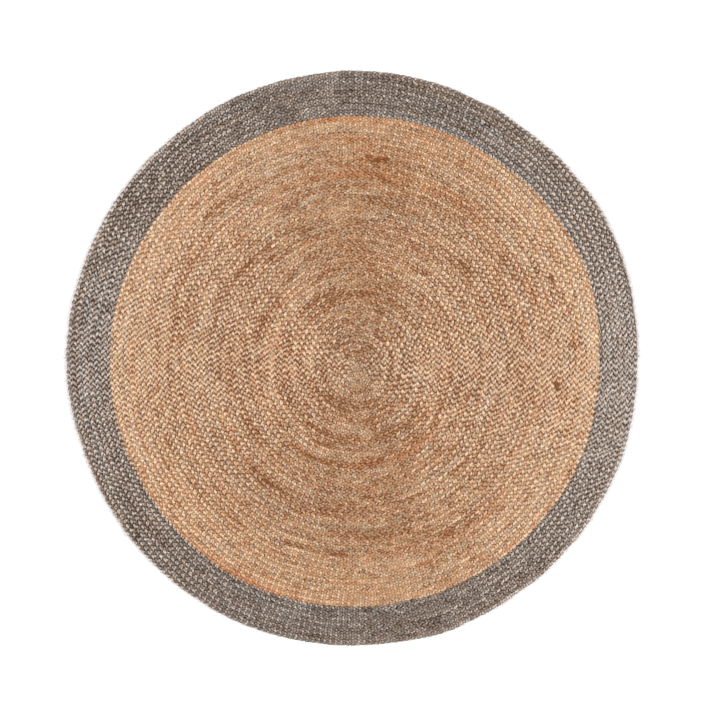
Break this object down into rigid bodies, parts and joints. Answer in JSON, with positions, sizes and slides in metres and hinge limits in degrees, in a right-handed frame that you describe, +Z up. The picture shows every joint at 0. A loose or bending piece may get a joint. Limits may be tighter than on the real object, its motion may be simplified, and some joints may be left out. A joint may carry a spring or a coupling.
{
  "type": "round jute rug",
  "caption": "Round flat floor rug of coiled jute braid, with a natural field and a dyed grey border.",
  "frame": {"origin": "on the underside, at the middle of the box round the rug's outline", "axes": "+Z up through the rug's thickness; +X and +Y lie in the plane of the floor"},
  "size_m": [1.1924, 1.203, 0.008],
  "materials": {
    "jute_natural": "three-strand braid of undyed golden tan jute with russet and pale streaks, matt and fibrous",
    "jute_grey": "three-strand braid of jute dyed warm mid grey, mottled with pale and blue-grey fibres, matt and fibrous"
  },
  "bodies": {
    "root": {"jute_field": "jute_natural", "grey_border": "jute_grey"}
  },
  "joints": []
}
